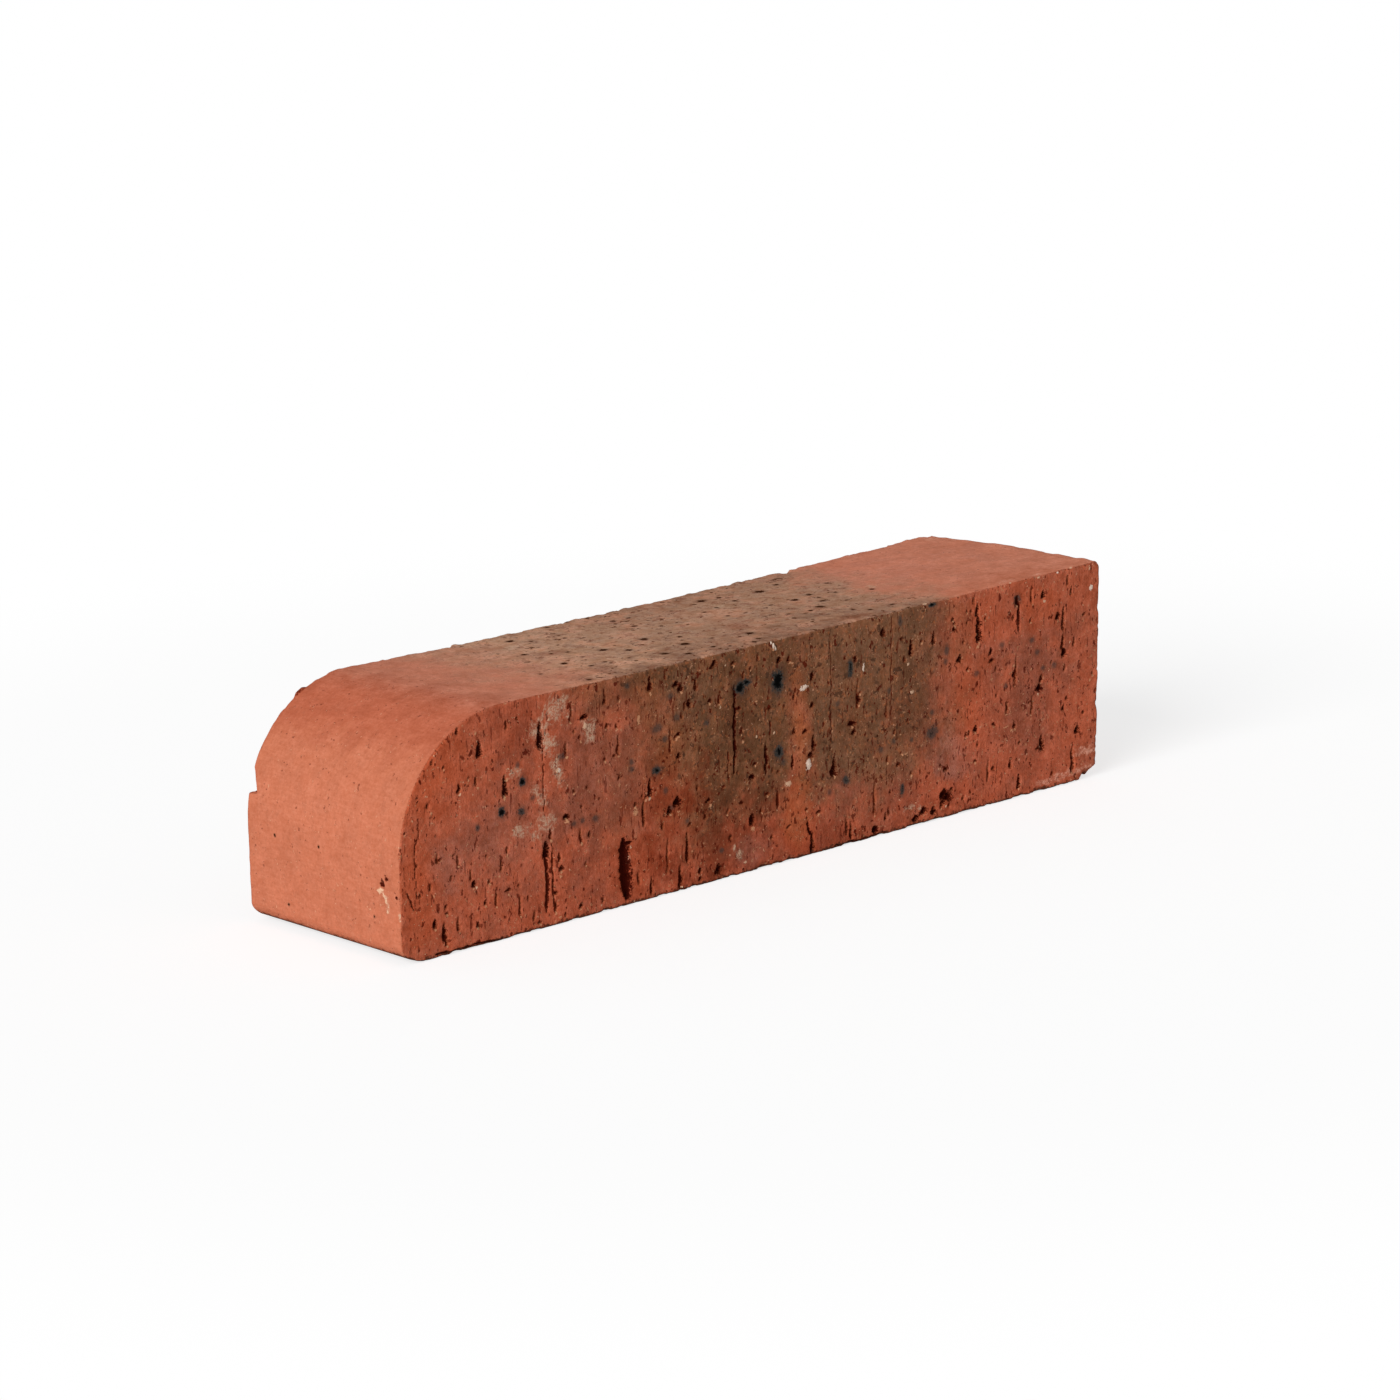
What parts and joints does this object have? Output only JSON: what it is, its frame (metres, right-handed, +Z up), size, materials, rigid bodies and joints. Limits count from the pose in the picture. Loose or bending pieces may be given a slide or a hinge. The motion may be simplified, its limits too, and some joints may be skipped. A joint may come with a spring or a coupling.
{
  "type": "rounded brick",
  "caption": "Solid, long and narrow fired-clay brick whose outline has one corner made a large quarter round, for the rounded corners of walls, pillars and reveals, and for steps and copings.",
  "frame": {"origin": "middle of the face that the brick lies on", "axes": "+X along the brick, from the rounded end to the plain end; Y through it between the two wire-cut faces; +Z up"},
  "size_m": [0.25, 0.065, 0.06],
  "materials": {
    "fired_clay": "matte"
  },
  "bodies": {
    "root": {"rounded_brick": "fired_clay"}
  },
  "joints": []
}
